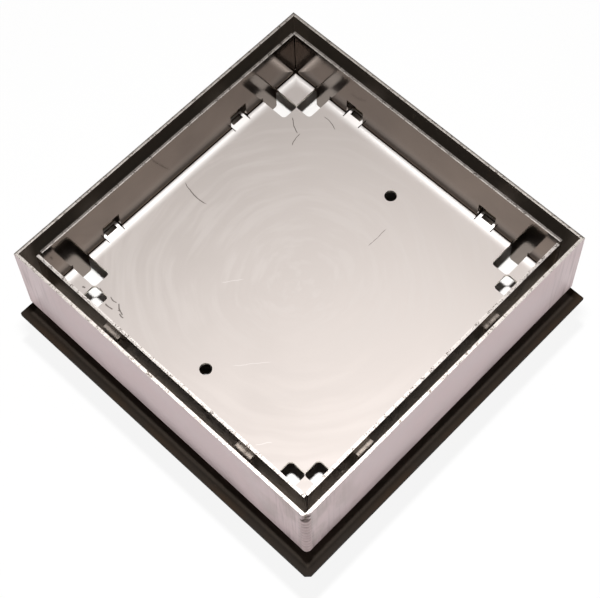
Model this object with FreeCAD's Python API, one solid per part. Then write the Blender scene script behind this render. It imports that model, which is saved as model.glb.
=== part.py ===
import FreeCAD, Part
import math
import os

os.makedirs("parts", exist_ok=True)
V = FreeCAD.Vector
UP = V(0, 0, 1)

# Base flange: outlet tube with a thin square flange round it, millimetres throughout
outlet_od = 56.0
outlet_wall = 2.6
spigot_length = 24.6
spigot_chamfer = 1.0
flange_overhang = 3.4
flange_thickness = 1.5
flange_corner = 0.4
flange_clip = 1.4
neck_height = 6.6
neck_chamfer = 1.6

# Outer frame: a folded pan with a collar that drops into the outlet tube
frame_side = 120.0
frame_sheet = 1.0
frame_bend = 1.2
collar_clearance = 0.4
collar_length = 12.0
collar_lip = 0.9
weld_radius = 1.8
weld_inset = 1.35
weld_pitch = 2.4
weld_from_top = 4.5
weld_flat = 1.4
corner_cut_x = 1.2
corner_cut_y = 2.4
corner_cut_depth = 2.6

# Tile tray: one folded sheet that stands on feet inside the frame
channel = 3.4
tray_drop = 1.3
tile_depth = 21.0
tray_sheet = 1.0
tray_bend = 1.5
neutral_share = 0.5
wall_lap = 0.4
slit_wide = 0.9
slit_narrow = 0.2
foot_height = 9.0
foot_width = 6.0
foot_inset = 13.45
foot_kerf = 0.22
foot_round = 1.0
spacer_width = 6.3
spacer_inset = 27.5
spacer_lip = 2.3
spacer_clearance = 0.3
spacer_trim = 0.2
spacer_bar = 1.0
spacer_hole_near = 0.25
spacer_hole_run = 1.9
slit_width = 0.35
slit_run = 0.4
lift_hole_diameter = 4.0
lift_hole_inset = 14.4

# Heights above the end of the spigot
flange_low = spigot_length
flange_high = flange_low + flange_thickness
frame_low = flange_high + neck_height
pan_floor = frame_low + frame_sheet
tray_low = pan_floor + foot_height
tray_floor = tray_low + tray_sheet
tray_rim = tray_floor + tile_depth
frame_top = tray_rim + tray_drop

# Half widths and radii that the fits share
frame_half = frame_side / 2
frame_inner = frame_half - frame_sheet
tray_half = frame_inner - channel
tray_inner = tray_half - tray_sheet
bend_outer = tray_bend + tray_sheet
fold_x = tray_half - bend_outer
fold_z = tray_low + bend_outer
bend_allowance = math.pi / 2 * (tray_bend + neutral_share * tray_sheet)
spacer_end = frame_inner - spacer_clearance
bore_radius = outlet_od / 2 - outlet_wall
collar_outer = bore_radius - collar_clearance
collar_inner = collar_outer - frame_sheet
flange_half = frame_half + flange_overhang


def block(x_low, x_high, y_low, y_high, z_low, z_high):
    """Box between the given limits."""
    corner = V(x_low, y_low, z_low)
    return Part.makeBox(x_high - x_low, y_high - y_low, z_high - z_low, corner)


def level_edges(shape, height):
    """Edges of a shape that lie flat at one height."""
    found = []
    for edge in shape.Edges:
        limits = edge.BoundBox
        if abs(limits.ZMin - height) < 1e-4 and abs(limits.ZMax - height) < 1e-4:
            found.append(edge)
    return found


def upright_edges(shape, x_limit):
    """Straight upright edges of a shape with x below the given limit."""
    found = []
    for edge in shape.Edges:
        limits = edge.BoundBox
        if limits.XMax < x_limit and limits.XLength < 1e-4 and limits.YLength < 1e-4:
            found.append(edge)
    return found


def turned(shape, quarter):
    """Copy of a shape turned by quarter turns about the drain's upright axis."""
    copy = shape.copy()
    copy.rotate(V(0, 0, 0), UP, 90 * quarter)
    return copy


def make_base_flange():
    """Outlet tube turned from its section, with the square flange moulded on."""
    radius = outlet_od / 2
    section = Part.makePolygon([
        V(bore_radius, 0, 0),
        V(radius - spigot_chamfer, 0, 0),
        V(radius, 0, spigot_chamfer),
        V(radius, 0, frame_low),
        V(bore_radius, 0, frame_low),
        V(bore_radius, 0, 0),
    ])
    tube = Part.Face(section).revolve(V(0, 0, 0), UP, 360)
    flange = block(-flange_half, flange_half, -flange_half, flange_half, flange_low, flange_high)
    flange = flange.makeFillet(flange_corner, upright_edges(flange, 0))
    front = [edge for edge in upright_edges(flange, flange_half + 1) if edge.BoundBox.YMax < -frame_half]
    front = [edge for edge in front if edge.BoundBox.XMin > frame_half]
    flange = flange.makeChamfer(flange_clip, front)
    base = tube.fuse(flange)
    joint_edges = []
    for height in (flange_low, flange_high):
        for edge in level_edges(base, height):
            if abs(edge.BoundBox.XMax - radius) < 1e-3:
                joint_edges.append(edge)
    base = base.makeChamfer(neck_chamfer, joint_edges)
    bore = Part.makeCylinder(bore_radius, frame_low, V(0, 0, 0))
    return base.cut(bore).removeSplitter()


def make_weld_bead():
    """Rippled weld bead up the frame's joint corner."""
    place = frame_half - weld_inset
    low = frame_low + frame_bend + frame_sheet + weld_radius
    high = frame_top - weld_from_top
    count = int((high - low) / weld_pitch) + 1
    ripples = [
        Part.makeSphere(weld_radius, V(place, -place, low + index * weld_pitch))
        for index in range(count)
    ]
    return ripples[0].multiFuse(ripples[1:])


def make_corner_wedge(leg_x, leg_y, low):
    """Wedge at the frame's joint corner, from the given height to the top."""
    outline = Part.makePolygon([
        V(frame_half, -frame_half, low),
        V(frame_half - leg_x, -frame_half, low),
        V(frame_half, -frame_half + leg_y, low),
        V(frame_half, -frame_half, low),
    ])
    return Part.Face(outline).extrude(V(0, 0, frame_top - low))


def make_outer_frame():
    """Folded pan: bent foot, welded corner with a ground top, drawn outlet collar."""
    shell = block(-frame_half, frame_half, -frame_half, frame_half, frame_low, frame_top)
    shell = shell.makeFillet(frame_bend + frame_sheet, level_edges(shell, frame_low))
    hollow = block(-frame_inner, frame_inner, -frame_inner, frame_inner, pan_floor, frame_top + 1)
    hollow = hollow.makeFillet(frame_bend, level_edges(hollow, pan_floor))
    joint_flat = make_corner_wedge(weld_flat, weld_flat, frame_low)
    ground_top = make_corner_wedge(corner_cut_x, corner_cut_y, frame_top - corner_cut_depth)
    shell = shell.cut([joint_flat, ground_top]).fuse(make_weld_bead()).cut(hollow)
    collar_end = V(0, 0, frame_low - collar_length)
    collar = Part.makeCylinder(collar_outer, collar_length + frame_sheet / 2, collar_end)
    waterway = Part.makeCylinder(collar_inner, collar_length + frame_sheet, collar_end)
    pan = shell.fuse(collar).cut(waterway).removeSplitter()
    floor_edges = level_edges(pan, pan_floor)
    lip = [edge for edge in floor_edges if abs(edge.BoundBox.XMax - collar_inner) < 1e-3]
    return pan.makeFillet(collar_lip, lip)


def make_foot_slot(place):
    """Opening that a foot leaves in the floor, as long as the unfolded foot."""
    unfolded = fold_z - pan_floor
    slot_end = fold_x - (unfolded - bend_allowance)
    reach = foot_width / 2 + foot_kerf
    slot = block(slot_end, tray_half + 1, place - reach, place + reach, tray_low - 1, fold_z)
    return slot.makeFillet(foot_round + foot_kerf, upright_edges(slot, slot_end + 0.1))


def make_foot(place):
    """Foot: a tongue of the wall that runs straight down to the pan's floor."""
    reach = foot_width / 2
    foot = block(tray_inner, tray_half, place - reach, place + reach, pan_floor, fold_z)
    lower = [edge for edge in level_edges(foot, pan_floor) if edge.BoundBox.YLength < 1e-4]
    return foot.makeFillet(foot_round, lower)


def make_bend(x, z, low, run):
    """Quarter bend of the tray's sheet, from level to upright, about a line along Y."""
    centre = V(x, low, z)
    ring = Part.makeCylinder(bend_outer, run, centre, V(0, 1, 0))
    ring = ring.cut(Part.makeCylinder(tray_bend, run, centre, V(0, 1, 0)))
    return ring.common(block(x, x + bend_outer, low, low + run, z - bend_outer, z))


def make_spacer(place):
    """Spacer: a tongue that stays level under the wall, then turns up along the frame, with a water hole."""
    reach = spacer_width / 2
    turn_x = spacer_end - bend_outer
    level = block(fold_x, turn_x, place - reach, place + reach, tray_low, tray_floor)
    bend = make_bend(turn_x, fold_z, place - reach, spacer_width)
    face = spacer_end - tray_sheet
    lip = block(face, spacer_end, place - reach, place + reach, fold_z, fold_z + spacer_lip)
    hole_near = tray_inner + spacer_hole_near
    hole_far = hole_near + spacer_hole_run
    side = reach - spacer_bar
    hole = block(hole_near, hole_far, place - side, place + side, tray_low - 1, fold_z)
    return level.multiFuse([bend, lip]).cut(hole)


def make_spacer_window(place):
    """Window that a spacer leaves in the wall, as tall as the unfolded tongue."""
    unfolded = spacer_end - bend_outer - fold_x + bend_allowance + spacer_lip + spacer_trim
    top_z = fold_z + unfolded - bend_allowance
    reach = spacer_width / 2 + slit_width
    return block(fold_x - slit_run, tray_half + 1, place - reach, place + reach, tray_low - 1, top_z)


def make_spacer_root(place):
    """Floor between the two slits of a spacer."""
    reach = spacer_width / 2
    return block(fold_x - slit_run, fold_x, place - reach, place + reach, tray_low, tray_floor)


def make_tray_side(wall_low, wall_high):
    """Upright wall of the tray's +X side, and its fold with mitred ends."""
    wall = block(tray_inner, tray_half, wall_low, wall_high, fold_z, tray_rim)
    fold = make_bend(fold_x, fold_z, -tray_half, 2 * tray_half)
    mitre = Part.makePolygon([
        V(0, 0, tray_low),
        V(tray_half, -tray_half, tray_low),
        V(tray_half, tray_half, tray_low),
        V(0, 0, tray_low),
    ])
    wedge = Part.Face(mitre).extrude(V(0, 0, bend_outer))
    return wall.fuse(fold.common(wedge))


def make_tile_tray():
    """Folded tray: floor, four walls, eight feet, eight spacers and two lifting holes."""
    floor = block(-fold_x, fold_x, -fold_x, fold_x, tray_low, tray_floor)
    foot_places = (tray_half - foot_inset, foot_inset - tray_half)
    spacer_places = (tray_half - spacer_inset, spacer_inset - tray_half)
    long_reach = tray_half - wall_lap
    long_side = make_tray_side(-long_reach, long_reach)
    short_side = make_tray_side(slit_narrow - tray_inner, tray_inner - slit_wide)
    sides = [turned(short_side, 0), turned(long_side, 1), turned(short_side, 2), turned(long_side, 3)]
    cuts = [make_foot_slot(place) for place in foot_places]
    cuts += [make_spacer_window(place) for place in spacer_places]
    tongues = [make_foot(place) for place in foot_places]
    tongues += [make_spacer(place) for place in spacer_places]
    tongues += [make_spacer_root(place) for place in spacer_places]
    sheet = floor.multiFuse(sides)
    sheet = sheet.cut([turned(cut, quarter) for cut in cuts for quarter in range(4)])
    sheet = sheet.multiFuse([turned(tongue, quarter) for tongue in tongues for quarter in range(4)])
    lift_place = tray_half - lift_hole_inset
    for place in (lift_place, -lift_place):
        hole = Part.makeCylinder(lift_hole_diameter / 2, tray_sheet, V(0, place, tray_low))
        sheet = sheet.cut(hole)
    return sheet.removeSplitter()


def single_solid(shape):
    """The one solid that a piece is made of."""
    if len(shape.Solids) != 1:
        raise RuntimeError("expected one solid, found %d" % len(shape.Solids))
    return shape.Solids[0]


single_solid(make_base_flange()).exportStep("parts/base_flange.step")
single_solid(make_outer_frame()).exportStep("parts/outer_frame.step")
single_solid(make_tile_tray()).exportStep("parts/tile_tray.step")
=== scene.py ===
import bpy
import bmesh
import math
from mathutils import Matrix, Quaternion, Vector


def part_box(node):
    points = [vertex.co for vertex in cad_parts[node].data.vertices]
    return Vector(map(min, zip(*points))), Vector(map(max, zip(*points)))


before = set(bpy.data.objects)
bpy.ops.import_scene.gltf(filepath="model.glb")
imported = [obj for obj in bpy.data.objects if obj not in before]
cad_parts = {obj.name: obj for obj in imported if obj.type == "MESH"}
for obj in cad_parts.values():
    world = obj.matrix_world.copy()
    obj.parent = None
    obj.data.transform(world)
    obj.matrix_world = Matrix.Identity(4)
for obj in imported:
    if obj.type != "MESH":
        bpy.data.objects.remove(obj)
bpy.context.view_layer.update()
scene = bpy.context.scene
scene.view_settings.view_transform = "Standard"


# Base flange: the outlet tube with a thin square flange, in one piece with a black plastic finish; the flange's
# black is a painted shadow, standing where the frame's shadow falls on the floor. Its top has a fine moulded
# grain, a paler strip next to the frame that is painted fill light, and brown patches at its rim that are the
# painted soft edge of that shadow.
def add_node(tree, kind, settings=None, inputs=None):
    """New shader node with its settings; an input takes a value or another node's socket."""
    node = tree.nodes.new(kind)
    for name, value in (settings or {}).items():
        setattr(node, name, value)
    for name, value in (inputs or {}).items():
        socket = node.inputs[name]
        if isinstance(value, bpy.types.NodeSocket):
            tree.links.new(value, socket)
        else:
            socket.default_value = value
    return node


def calc(tree, operation, first, second=0.0):
    """Result of a math node."""
    settings = {"operation": operation}
    return add_node(tree, "ShaderNodeMath", settings, {0: first, 1: second}).outputs[0]


def times(tree, first, *others):
    """Product of two or more values."""
    for other in others:
        first = calc(tree, "MULTIPLY", first, other)
    return first


def ease(tree, value, start, end, low=0.0, high=1.0):
    """Smooth step of a value between two limits."""
    settings = {"interpolation_type": "SMOOTHSTEP"}
    inputs = {"Value": value, "From Min": start, "From Max": end, "To Min": low, "To Max": high}
    return add_node(tree, "ShaderNodeMapRange", settings, inputs).outputs["Result"]


def noise(tree, vector, scale, detail=2.0, roughness=0.5):
    """Noise value at a scale counted per metre."""
    inputs = {"Vector": vector, "Scale": scale, "Detail": detail, "Roughness": roughness}
    return add_node(tree, "ShaderNodeTexNoise", None, inputs).outputs["Fac"]


def blended(tree, share, first, second):
    """Mix of two colours."""
    settings = {"data_type": "RGBA"}
    return add_node(tree, "ShaderNodeMix", settings, {0: share, 6: first, 7: second}).outputs[2]


def layered(tree, colour, layers):
    """Colour with others laid over it in turn, each by its own mask."""
    for mask, over in layers:
        colour = blended(tree, mask, colour, over)
    return colour


def split(tree, vector):
    """The three parts of a vector."""
    axes = add_node(tree, "ShaderNodeSeparateXYZ", None, {0: vector})
    return tuple(axes.outputs[name] for name in "XYZ")


def reach_of(tree, x, y):
    """How far out a point lies towards the nearest side of the square."""
    return calc(tree, "MAXIMUM", calc(tree, "ABSOLUTE", x), calc(tree, "ABSOLUTE", y))


def bumped(tree, height, distance=1.0, strength=1.0, normal=None):
    """Normal bent by a height."""
    inputs = {"Strength": strength, "Distance": distance, "Height": height}
    if normal is not None:
        inputs["Normal"] = normal
    return add_node(tree, "ShaderNodeBump", None, inputs).outputs[0]


def new_material(name):
    """Material with a plain tree: the material, its tree, shader and object coordinates."""
    material = bpy.data.materials.new(name)
    material.use_nodes = True
    tree = material.node_tree
    shader = tree.nodes["Principled BSDF"]
    place = add_node(tree, "ShaderNodeTexCoord").outputs["Object"]
    return material, tree, shader, place


def feed(tree, shader, inputs):
    """Links values to the inputs of a material's shader."""
    for name, value in inputs.items():
        tree.links.new(value, shader.inputs[name])


def finish_node(name, material):
    """Gives a part of the drain its finish."""
    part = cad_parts[name]
    part.data.materials.clear()
    part.data.materials.append(material)


cloud_limits = (0.3, 0.7)
flange_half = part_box("base_flange")[1].x
rim_start = flange_half - 0.0035
dust_start = flange_half - 0.0031
dust_end = flange_half - 0.0019
rub_limits = (0.35, 0.7)
flange_cloud_scale = 60.0
flange_grain_scale = 2600.0
flange_grain_depth = 0.0001
flange_grain_strength = 0.12
flange_rough = (0.60, 0.72)
flange_gloss = 0.06
# Painted fill light: the paler black next to the frame lightens the lamp's shadow there
dusty_black = (0.082, 0.066, 0.053, 1.0)
# Painted shadow: the flange's plain black stands where the frame's shadow falls on the floor
plain_black = (0.0195, 0.0148, 0.0113, 1.0)
# Painted soft shadow edge: brown patches along the flange's rim
rubbed_brown = (0.029, 0.0185, 0.0115, 1.0)

black_plastic, tree, shader, place = new_material("black_plastic")
x, y = split(tree, place)[:2]
reach = reach_of(tree, x, y)
cloud = noise(tree, place, flange_cloud_scale, 3.0)
rim = ease(tree, reach, rim_start, flange_half)
rubbed = times(tree, rim, ease(tree, cloud, *rub_limits))
grain = noise(tree, place, flange_grain_scale, 1.0)
feed(tree, shader, {
    # Painted fill light next to the frame, then the painted soft shadow edge in patches at the rim
    "Base Color": layered(tree, dusty_black, [
        (ease(tree, reach, dust_start, dust_end), plain_black),
        (rubbed, rubbed_brown),
    ]),
    "Roughness": ease(tree, cloud, *cloud_limits, *flange_rough),
    "Normal": bumped(tree, grain, flange_grain_depth, flange_grain_strength),
})
shader.inputs["Specular IOR Level"].default_value = flange_gloss
finish_node("base_flange", black_plastic)


# Outer frame: a square pan folded from bright steel sheet, joined by a weld up one corner.
# The outside is cloudy from pickling, with upright streaks near the corners painted as reflections, and heat
# stained at the weld;
# the top edge is a bare sawn edge, the inside is painted darker as painted shade, and the pan's floor is dull.
def new_group(name, inputs, outputs):
    """Shader node group with named sockets: the group, its input node and its output node."""
    group = bpy.data.node_groups.new(name, "ShaderNodeTree")
    for label, kind, value in inputs:
        socket = group.interface.new_socket(label, in_out="INPUT", socket_type=kind)
        if value is not None:
            socket.default_value = value
    for label, kind in outputs:
        group.interface.new_socket(label, in_out="OUTPUT", socket_type=kind)
    return group, group.nodes.new("NodeGroupInput"), group.nodes.new("NodeGroupOutput")


def use_group(tree, group, inputs):
    """Places a node group in a material."""
    return add_node(tree, "ShaderNodeGroup", {"node_tree": group}, inputs)


def stretched(tree, vector, scale):
    """Coordinates stretched by a mapping node."""
    return add_node(tree, "ShaderNodeMapping", None, {"Vector": vector, "Scale": scale}).outputs[0]


def normals(tree):
    """The surface's normal, its upward part, and a mask of the level faces seen from above."""
    facing = add_node(tree, "ShaderNodeNewGeometry").outputs["Normal"]
    up = split(tree, facing)[2]
    return facing, up, ease(tree, up, *level_limits)


# Sawn edge: bright metal with dark chips and nicks, for both sheets
chip_fine_scale = 2600.0
chip_coarse_scale = 560.0
chip_coarse_share = 0.6
chip_amount_share = 0.4
chip_limits = (0.95, 1.15)
sawn_edge, inside, outside = new_group(
    "sawn_edge",
    [("Vector", "NodeSocketVector", None), ("Chips", "NodeSocketFloat", 0.5)],
    [("Mask", "NodeSocketFloat"), ("Height", "NodeSocketFloat")],
)
fine = noise(sawn_edge, inside.outputs["Vector"], chip_fine_scale, 3.0, 0.65)
coarse = noise(sawn_edge, inside.outputs["Vector"], chip_coarse_scale)
mixed = calc(sawn_edge, "ADD", fine, times(sawn_edge, coarse, chip_coarse_share))
level = calc(sawn_edge, "ADD", mixed, times(sawn_edge, inside.outputs["Chips"], chip_amount_share))
sawn_edge.links.new(ease(sawn_edge, level, *chip_limits), outside.inputs["Mask"])
sawn_edge.links.new(fine, outside.inputs["Height"])

# Rolled sheet: a slow cloudy tone, for both sheets
rolled_sheet, inside, outside = new_group(
    "rolled_sheet",
    [("Vector", "NodeSocketVector", None), ("Cloud Scale", "NodeSocketFloat", 50.0)],
    [("Cloud", "NodeSocketFloat")],
)
cloud = noise(rolled_sheet, inside.outputs["Vector"], inside.outputs["Cloud Scale"], 4.0)
rolled_sheet.links.new(cloud, outside.inputs["Cloud"])

frame_low, frame_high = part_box("outer_frame")
frame_top = frame_high.z
frame_half = -frame_low.x
pan_floor = 0.0337
pan_fade = 0.0004
edge_low = frame_top - 0.0008
edge_high = frame_top - 0.0004
inside_limits = (0.0004, 0.0008)
level_limits = (0.85, 0.97)
floor_fade_start = 0.0012
floor_fade_end = 0.0006
frame_cloud_scale = 70.0
frame_chips = 0.34
edge_roll_width = 0.00045
edge_roll_slope = 0.22
streak_scale = (900.0, 900.0, 45.0)
streak_limits = (0.45, 0.75)
streak_fade = (0.022, 0.003)
streak_strength = 0.85
stain_stretch = (1.0, 1.0, 0.6)
stain_scale = 130.0
stain_limits = (0.4, 0.66)
heat_fade = (0.034, 0.004)
heat_strength = 0.55
weld_start = 0.0367
weld_pitch = 0.0024
bead_fade = (0.0036, 0.0022)
bead_strength = 0.35
ring_step = 0.618
ring_limits = (0.35, 0.75)
ring_strengths = (0.15, 0.95)
valley_fade = (0.16, 0.02)
bead_end_tilt = (0.25, 0.6)
bead_end_low = frame_top - 0.0054
bead_end_high = frame_top - 0.0044
ripple_scale = 700.0
plain_ripple = 0.08
frame_relief_depth = 0.0002
frame_relief_strength = 0.35
frame_rough = (0.30, 0.42)
bead_end_rough = 0.7
inside_rough = 0.5
frame_edge_rough = 0.45
pan_rough = 0.5
pickled_metal = 0.6
pan_metal = 0.1
pickled_dark = (0.60, 0.463, 0.472, 1.0)
pickled_pale = (0.67, 0.525, 0.532, 1.0)
# Painted reflection: mauve upright streaks near the corners
streak_mauve = (0.40, 0.292, 0.298, 1.0)
heat_brown = (0.35, 0.265, 0.237, 1.0)
bead_grey = (0.38, 0.30, 0.29, 1.0)
# Painted shade: the valleys between the bead's rings
ring_brown = (0.22, 0.165, 0.15, 1.0)
# Painted shade: the bead's upper end, darkened against the lamp's highlight
bead_end_grey = (0.17, 0.135, 0.13, 1.0)
# Painted shade: the inside of the frame, down in the channel
inside_brown = (0.27, 0.225, 0.185, 1.0)
pan_pale = (0.80, 0.785, 0.77, 1.0)
frame_edge_pale = (0.62, 0.577, 0.538, 1.0)
frame_chip_dark = (0.13, 0.105, 0.09, 1.0)

frame_steel, tree, shader, place = new_material("frame_steel")
x, y, z = split(tree, place)
up, level_up = normals(tree)[1:]
cloud = use_group(tree, rolled_sheet, {"Vector": place, "Cloud Scale": frame_cloud_scale}).outputs["Cloud"]
saw = use_group(tree, sawn_edge, {"Vector": place, "Chips": frame_chips})
top_edge = times(tree, level_up, ease(tree, z, edge_low, edge_high))
floor_inside = times(tree, level_up, ease(tree, z, pan_floor + floor_fade_start, pan_floor + floor_fade_end))

# Distances from the welded corner, from the nearest upright corner and from the nearest side
off_x = calc(tree, "SUBTRACT", frame_half, x)
off_y = calc(tree, "ADD", frame_half, y)
off_weld = calc(tree, "SQRT", calc(tree, "ADD", times(tree, off_x, off_x), times(tree, off_y, off_y)))
side_x = calc(tree, "SUBTRACT", frame_half, calc(tree, "ABSOLUTE", x))
side_y = calc(tree, "SUBTRACT", frame_half, calc(tree, "ABSOLUTE", y))
off_corner = calc(tree, "MAXIMUM", side_x, side_y)
off_side = calc(tree, "MINIMUM", side_x, side_y)
above_pan = ease(tree, z, pan_floor, pan_floor + pan_fade)
within = times(tree, ease(tree, off_side, *inside_limits), above_pan)

# Upright streaks near the corners, a painted reflection, and stains from the heat of the weld
streak = ease(tree, noise(tree, stretched(tree, place, streak_scale), 1.0), *streak_limits)
streaks = times(tree, streak, ease(tree, off_corner, *streak_fade), streak_strength)
stain = noise(tree, stretched(tree, place, stain_stretch), stain_scale, 3.0)
heat = times(tree, ease(tree, stain, *stain_limits), ease(tree, off_weld, *heat_fade), heat_strength)

# The weld's bead: painted shade of uneven strength in the valleys between its rings, and its ground-off upper end,
# painted darker as painted shade
bead = ease(tree, off_weld, *bead_fade)
rings = calc(tree, "DIVIDE", calc(tree, "SUBTRACT", z, weld_start), weld_pitch)
uneven = calc(tree, "FRACT", times(tree, calc(tree, "FLOOR", rings), ring_step))
uneven = ease(tree, uneven, *ring_limits, *ring_strengths)
off_valley = calc(tree, "ABSOLUTE", calc(tree, "SUBTRACT", calc(tree, "FRACT", rings), 0.5))
valleys = times(tree, ease(tree, off_valley, *valley_fade), bead, uneven)
bead_end = times(
    tree, bead, ease(tree, up, *bead_end_tilt),
    ease(tree, z, bead_end_low, bead_end_high), ease(tree, z, edge_high, edge_low),
)

pickled = blended(tree, ease(tree, cloud, *cloud_limits), pickled_dark, pickled_pale)
colour = layered(tree, pickled, [
    (streaks, streak_mauve),
    (heat, heat_brown),
    (times(tree, bead, bead_strength), bead_grey),
    (valleys, ring_brown),
    (bead_end, bead_end_grey),
    (within, inside_brown),
    (floor_inside, pan_pale),
    (top_edge, frame_edge_pale),
    (times(tree, saw.outputs["Mask"], top_edge), frame_chip_dark),
])
rough = ease(tree, cloud, *cloud_limits, *frame_rough)
for mask, least in [
    (bead_end, bead_end_rough),
    (within, inside_rough),
    (top_edge, frame_edge_rough),
    (floor_inside, pan_rough),
]:
    rough = calc(tree, "MAXIMUM", rough, times(tree, mask, least))
bare = calc(tree, "MAXIMUM", within, top_edge)
metal = ease(tree, bare, 0.0, 1.0, pickled_metal, 1.0)
metal = times(tree, metal, ease(tree, floor_inside, 0.0, 1.0, 1.0, pan_metal))
ripple = times(tree, noise(tree, place, ripple_scale), calc(tree, "ADD", bead, plain_ripple))
height = calc(tree, "ADD", ripple, times(tree, saw.outputs["Height"], top_edge))
edge_roll = times(tree, calc(tree, "MINIMUM", off_side, edge_roll_width), edge_roll_slope, top_edge)
feed(tree, shader, {
    "Base Color": colour,
    "Roughness": rough,
    "Metallic": metal,
    "Normal": bumped(tree, height, frame_relief_depth, frame_relief_strength, bumped(tree, edge_roll)),
})
finish_node("outer_frame", frame_steel)


# Tile tray: one bright steel sheet folded up on four sides, standing on tongues of its own walls.
# Its floor carries round polishing marks, a few hair-thin scratches and swarf stains at one corner, and is painted
# paler to the right as painted light;
# its rim is a bare sawn edge, and its walls, their outsides and its underside are painted darker as painted shade.
def mixed_value(tree, share, first, second):
    """Mix of two numbers."""
    settings = {"data_type": "FLOAT"}
    return add_node(tree, "ShaderNodeMix", settings, {0: share, 2: first, 3: second}).outputs[0]


def beyond(tree, value, limit, most):
    """How far a value is past a limit, from nothing up to the most."""
    return calc(tree, "MINIMUM", calc(tree, "MAXIMUM", calc(tree, "SUBTRACT", value, limit), 0.0), most)


# Hair scratch: a thin bowed line on the floor, given by its middle, direction, length, width and bow
wobble_scale = 260.0
wobble_width = 0.0012
scratch_core = (1.0, 0.2)
scratch_ends = (1.0, 0.7)
hair_scratch, inside, outside = new_group(
    "hair_scratch",
    [
        ("Vector", "NodeSocketVector", None),
        ("Middle", "NodeSocketVector", None),
        ("Turn", "NodeSocketFloat", 0.0),
        ("Length", "NodeSocketFloat", 0.01),
        ("Width", "NodeSocketFloat", 0.0002),
        ("Bow", "NodeSocketFloat", 0.0),
    ],
    [("Mask", "NodeSocketFloat")],
)
away = add_node(hair_scratch, "ShaderNodeVectorMath", {"operation": "SUBTRACT"},
                {0: inside.outputs["Vector"], 1: inside.outputs["Middle"]}).outputs[0]
laid = add_node(hair_scratch, "ShaderNodeVectorRotate", {"rotation_type": "Z_AXIS"},
                {"Vector": away, "Angle": inside.outputs["Turn"]}).outputs[0]
along, across = split(hair_scratch, laid)[:2]
share = calc(hair_scratch, "DIVIDE", along, times(hair_scratch, inside.outputs["Length"], 0.5))
lift = times(hair_scratch, share, share, inside.outputs["Bow"])
wobble = calc(hair_scratch, "SUBTRACT", noise(hair_scratch, inside.outputs["Vector"], wobble_scale), 0.5)
shifted = calc(hair_scratch, "ADD", across, times(hair_scratch, wobble, wobble_width))
off_line = calc(hair_scratch, "ABSOLUTE", calc(hair_scratch, "SUBTRACT", shifted, lift))
core = ease(hair_scratch, calc(hair_scratch, "DIVIDE", off_line, inside.outputs["Width"]), *scratch_core)
ends = ease(hair_scratch, calc(hair_scratch, "ABSOLUTE", share), *scratch_ends)
hair_scratch.links.new(times(hair_scratch, core, ends), outside.inputs["Mask"])

tray_floor = 0.0437
tray_half = 0.0556
fold_start = 0.0531
fold_fade = 0.0001
dish_width = 0.0027
dish_slope = 0.23
roll_width = 0.00065
roll_slope = 0.27
upright_limits = (0.87, 0.66)
underside_limits = (-0.3, -0.7)
outside_start = tray_half - 0.0004
outside_end = tray_half - 0.0001
tray_cloud_scale = 38.0
tray_chips = 0.38
cloud_strength = 0.3
tone_limits = (-0.085, 0.085)
polish_radius_scale = 340.0
polish_turn_scale = 1.6
polish_wander_scale = 32.0
polish_wander = 0.009
polish_limits = (0.42, 0.68)
polish_fade = (0.075, -0.01)
polish_strength = 0.42
polish_height = 0.004
light_mark_strength = 0.28
dark_mark_strength = 0.85
tray_relief_depth = 0.0002
tray_relief_strength = 0.3
floor_rough = (0.648, 0.672)
rubbed_rough = 0.58
wall_rough = (0.09, 0.13)
cut_face_rough = 0.35
tray_edge_rough = 0.5
# Painted shade: the walls of the sheet are much darker than its floor
mill_dark = (0.134, 0.108, 0.090, 1.0)
mill_pale = (0.168, 0.137, 0.115, 1.0)
# Painted light: the floor's base is dimmer to the left and paler to the right
floor_left = (0.480, 0.440, 0.418, 1.0)
floor_right = (0.560, 0.516, 0.492, 1.0)
cloud_pale = (0.56, 0.518, 0.495, 1.0)
polish_pale = (0.59, 0.552, 0.53, 1.0)
# Painted highlight: the paler strip along each fold
rubbed_pale = (0.63, 0.605, 0.59, 1.0)
# Painted shade: the outsides of the walls, down in the dark channel
outside_brown = (0.31, 0.26, 0.212, 1.0)
# Painted shade: the underside of the sheet, over the pan's floor
underside_black = (0.025, 0.021, 0.018, 1.0)
cut_face_pale = (0.85, 0.79, 0.70, 1.0)
mark_pale = (0.90, 0.88, 0.87, 1.0)
mark_dark = (0.09, 0.075, 0.065, 1.0)
tray_edge_pale = (0.58, 0.541, 0.512, 1.0)
tray_chip_dark = (0.11, 0.09, 0.08, 1.0)

# Marks on the floor, each with its middle, turn, length, width and bow: dark hair scratches and swarf, light nicks
dark_marks = [
    (-0.0458, -0.0012, 0.08, 0.0116, 0.000234, 0.0010),
    (-0.0406, 0.0391, 0.55, 0.0069, 0.000208, 0.0004),
    (-0.0326, 0.0483, 0.21, 0.0066, 0.000182, -0.0004),
    (-0.0366, 0.0358, 1.28, 0.0055, 0.000182, 0.0003),
    (0.0070, 0.0273, 1.58, 0.0090, 0.000117, 0.0),
    (-0.0341, -0.0450, 0.58, 0.0030, 0.000338, 0.0003),
    (-0.0325, -0.0457, 0.18, 0.0026, 0.000312, -0.0003),
    (-0.0315, -0.0467, 0.17, 0.0022, 0.000364, 0.0002),
    (-0.0366, -0.0471, 0.02, 0.0034, 0.000338, 0.0003),
    (-0.0372, -0.0446, -0.02, 0.0032, 0.000260, 0.0002),
    (-0.0425, -0.0445, 0.26, 0.0019, 0.000286, 0.0),
    (-0.0471, -0.0478, -0.18, 0.0012, 0.000338, 0.0),
]
light_marks = [
    (-0.0151, -0.0146, -0.94, 0.0074, 0.000156, 0.0002),
    (0.0090, -0.0304, -0.89, 0.0127, 0.000130, 0.0),
    (0.0296, -0.0464, -0.91, 0.0054, 0.000156, 0.0),
]


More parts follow.
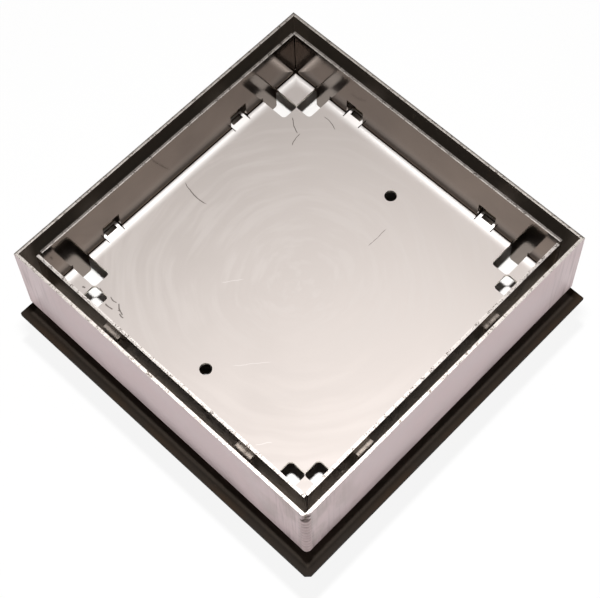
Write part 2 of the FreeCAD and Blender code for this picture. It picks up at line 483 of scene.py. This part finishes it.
def mark_mask(tree, place, marks):
    """Mask of the marks in a list."""
    mask = 0.0
    for middle_x, middle_y, turn, length, width, bow in marks:
        mark = use_group(tree, hair_scratch, {
            "Vector": place,
            "Middle": (middle_x, middle_y, tray_floor),
            "Turn": turn,
            "Length": length,
            "Width": width,
            "Bow": bow,
        })
        mask = calc(tree, "MAXIMUM", mark.outputs["Mask"], mask)
    return mask


tray_steel, tree, shader, place = new_material("tray_steel")
x, y, z = split(tree, place)
facing, up, level_up = normals(tree)
cloud = use_group(tree, rolled_sheet, {"Vector": place, "Cloud Scale": tray_cloud_scale}).outputs["Cloud"]
saw = use_group(tree, sawn_edge, {"Vector": place, "Chips": tray_chips})
on_floor = times(tree, level_up, ease(tree, z, tray_floor + floor_fade_start, tray_floor + floor_fade_end))
on_edge = calc(tree, "SUBTRACT", level_up, on_floor)

# Parts of the sheet by their slope and their distance from the middle: the walls, the underside, the cut faces of
# the slots, the strip along each fold, painted paler as a painted highlight, and the outsides of the walls
reach = reach_of(tree, x, y)
upright = ease(tree, up, *upright_limits)
underside = ease(tree, up, *underside_limits)
before_fold = ease(tree, reach, fold_start + fold_fade, fold_start - fold_fade)
cut_face = times(tree, calc(tree, "SUBTRACT", upright, underside), before_fold)
rubbed = calc(tree, "SUBTRACT", ease(tree, reach, fold_start - dish_width, fold_start), upright)
rubbed = add_node(tree, "ShaderNodeClamp", None, {0: rubbed}).outputs[0]
outside_wall = times(tree, upright, ease(tree, reach, outside_start, outside_end))

# Round polishing marks about the middle of the floor, which wander a little and fade towards the welded corner
flat = add_node(tree, "ShaderNodeCombineXYZ", None, {"X": x, "Y": y, "Z": 0.0}).outputs[0]
radius = add_node(tree, "ShaderNodeVectorMath", {"operation": "LENGTH"}, {0: flat}).outputs["Value"]
wander = calc(tree, "SUBTRACT", noise(tree, place, polish_wander_scale), 0.5)
radius = calc(tree, "ADD", radius, times(tree, wander, polish_wander))
turn = add_node(tree, "ShaderNodeVectorMath", {"operation": "NORMALIZE"}, {0: flat}).outputs[0]
turn_x, turn_y = split(tree, turn)[:2]
round_place = add_node(tree, "ShaderNodeCombineXYZ", None, {
    "X": times(tree, radius, polish_radius_scale),
    "Y": times(tree, turn_x, polish_turn_scale),
    "Z": times(tree, turn_y, polish_turn_scale),
}).outputs[0]
swirl = noise(tree, round_place, 1.0, 4.0)
toward_back = ease(tree, calc(tree, "SUBTRACT", x, y), *polish_fade)
polished = times(tree, ease(tree, swirl, *polish_limits), toward_back, polish_strength)

cloudy = ease(tree, cloud, *cloud_limits)
# Painted light: the floor's base colour grows paler towards the right side
toward_right = ease(tree, calc(tree, "ADD", x, y), *tone_limits)
colour = layered(tree, floor_left, [
    (toward_right, floor_right),
    (times(tree, cloudy, cloud_strength), cloud_pale),
    (polished, polish_pale),
    (rubbed, rubbed_pale),
    (upright, blended(tree, cloudy, mill_dark, mill_pale)),
    (outside_wall, outside_brown),
    (underside, underside_black),
    (cut_face, cut_face_pale),
    (times(tree, mark_mask(tree, place, light_marks), light_mark_strength, on_floor), mark_pale),
    (times(tree, mark_mask(tree, place, dark_marks), dark_mark_strength, on_floor), mark_dark),
    (on_edge, tray_edge_pale),
    (times(tree, saw.outputs["Mask"], on_edge), tray_chip_dark),
])
rough = mixed_value(tree, rubbed, ease(tree, swirl, *cloud_limits, *floor_rough), rubbed_rough)
upright_rough = ease(tree, cloud, *cloud_limits, *wall_rough)
upright_rough = calc(tree, "ADD", upright_rough, times(tree, cut_face, cut_face_rough))
rough = mixed_value(tree, upright, rough, upright_rough)
rough = mixed_value(tree, on_edge, rough, tray_edge_rough)

# The sheet dishes up towards each fold and goes on straight past it, and the shear rolled the rim's outer side
# over; the fold itself keeps its own normal
strip = beyond(tree, reach, fold_start - dish_width, dish_width)
dish = times(tree, calc(tree, "POWER", strip, 3.0), dish_slope / dish_width ** 2 / 3)
past_fold = calc(tree, "MAXIMUM", calc(tree, "SUBTRACT", reach, fold_start), 0.0)
dish = calc(tree, "ADD", dish, times(tree, past_fold, dish_slope))
dish = times(tree, dish, calc(tree, "SUBTRACT", 1.0, on_edge))
roll = times(tree, beyond(tree, tray_half, reach, roll_width), roll_slope, on_edge)
bent = bumped(tree, calc(tree, "ADD", dish, roll))
bent = add_node(tree, "ShaderNodeMix", {"data_type": "VECTOR"}, {0: level_up, 4: facing, 5: bent}).outputs[1]
grain = times(tree, saw.outputs["Height"], on_edge)
grain = calc(tree, "ADD", grain, times(tree, swirl, toward_back, polish_height))
feed(tree, shader, {
    "Base Color": colour,
    "Roughness": rough,
    "Normal": bumped(tree, grain, tray_relief_depth, tray_relief_strength, bent),
})
shader.inputs["Metallic"].default_value = 1.0
finish_node("tile_tray", tray_steel)


# Floor: a plain white sheet of card that the drain stands on, big enough for every view.
# It looks nearly white to the camera and in the steel, and keeps a faint shadow.
floor_side = 6.0
card_grey = (0.85, 0.85, 0.85, 1.0)
card_white = (1.0, 1.0, 1.0, 1.0)
card_rough = 0.9
card_white_share = 0.9
mesh = bpy.data.meshes.new("floor")
shape = bmesh.new()
bmesh.ops.create_grid(shape, x_segments=1, y_segments=1, size=floor_side / 2)
shape.to_mesh(mesh)
shape.free()
floor = bpy.data.objects.new("floor", mesh)
scene.collection.objects.link(floor)
floor_card, tree, shader = new_material("floor_card")[:3]
shader.inputs["Base Color"].default_value = card_grey
shader.inputs["Roughness"].default_value = card_rough
shader.inputs["Specular IOR Level"].default_value = 0.0
path = add_node(tree, "ShaderNodeLightPath")
seen = calc(tree, "MAXIMUM", path.outputs["Is Camera Ray"], path.outputs["Is Glossy Ray"])
seen = calc(tree, "MAXIMUM", seen, path.outputs["Is Transmission Ray"])
white = add_node(tree, "ShaderNodeEmission", None, {"Color": card_white, "Strength": 1.0})
blend = add_node(tree, "ShaderNodeMixShader", None, {
    0: times(tree, seen, card_white_share),
    1: shader.outputs[0],
    2: white.outputs[0],
})
tree.links.new(blend.outputs[0], tree.nodes["Material Output"].inputs["Surface"])
mesh.materials.append(floor_card)


# Studio light: a dim room, a little paler behind and over the drain, and one small lamp from above.
# The lamp lights the floors and edges, and reaches the pan's floor through the tray's slots.
backdrop_way = (-0.50, 0.866, 0.0)
room_stop = 0.27
side_stop = 0.5
backdrop_stop = 0.68
horizon_fade = (0.40, 0.70)
room_dark = (0.035, 0.030, 0.026, 1.0)
side_dark = (0.06, 0.052, 0.045, 1.0)
backdrop_pale = (0.30, 0.284, 0.272, 1.0)
horizon_dark = (0.10, 0.088, 0.076, 1.0)
lamp_place = (0.046, -0.046, 0.615)
lamp_watts = 4.4
lamp_width = 0.045
world = bpy.data.worlds.new("studio")
world.use_nodes = True
scene.world = world
tree = world.node_tree
way = add_node(tree, "ShaderNodeTexCoord").outputs["Generated"]
toward = add_node(tree, "ShaderNodeVectorMath", {"operation": "DOT_PRODUCT"},
                  {0: way, 1: backdrop_way}).outputs["Value"]
share = times(tree, calc(tree, "ADD", toward, 1.0), 0.5)
ramp = add_node(tree, "ShaderNodeValToRGB", None, {0: share})
stops = ramp.color_ramp.elements
stops[0].position = room_stop
stops[0].color = room_dark
stops[1].position = backdrop_stop
stops[1].color = backdrop_pale
stops.new(side_stop).color = side_dark
height = split(tree, way)[2]
sky = blended(tree, ease(tree, height, *horizon_fade), horizon_dark, ramp.outputs[0])
tree.links.new(sky, tree.nodes["Background"].inputs["Color"])
lamp_data = bpy.data.lights.new("lamp", "AREA")
lamp_data.shape = "DISK"
lamp_data.size = lamp_width
lamp_data.energy = lamp_watts
lamp = bpy.data.objects.new("lamp", lamp_data)
lamp.location = lamp_place
scene.collection.objects.link(lamp)


# Camera: a long lens from above one corner, slightly turned, as in the photograph.
# Its place and turn were solved from the edges of the frame and the tray.
camera_place = Vector((0.16935, -0.16318, 0.50150))
camera_aim = Vector((0.01241, -0.01247, 0.066))
camera_turn = math.radians(-2.60)
camera_data = bpy.data.cameras.new("camera")
camera_data.lens = 100.0
camera_data.sensor_width = 36.0
camera_data.clip_start = 0.01
camera_data.clip_end = 20.0
camera = bpy.data.objects.new("camera", camera_data)
camera.rotation_mode = "QUATERNION"
camera.location = camera_place
aim = (camera_aim - camera_place).to_track_quat("-Z", "Y")
camera.rotation_quaternion = aim @ Quaternion((0.0, 0.0, 1.0), camera_turn)
scene.collection.objects.link(camera)
scene.camera = camera
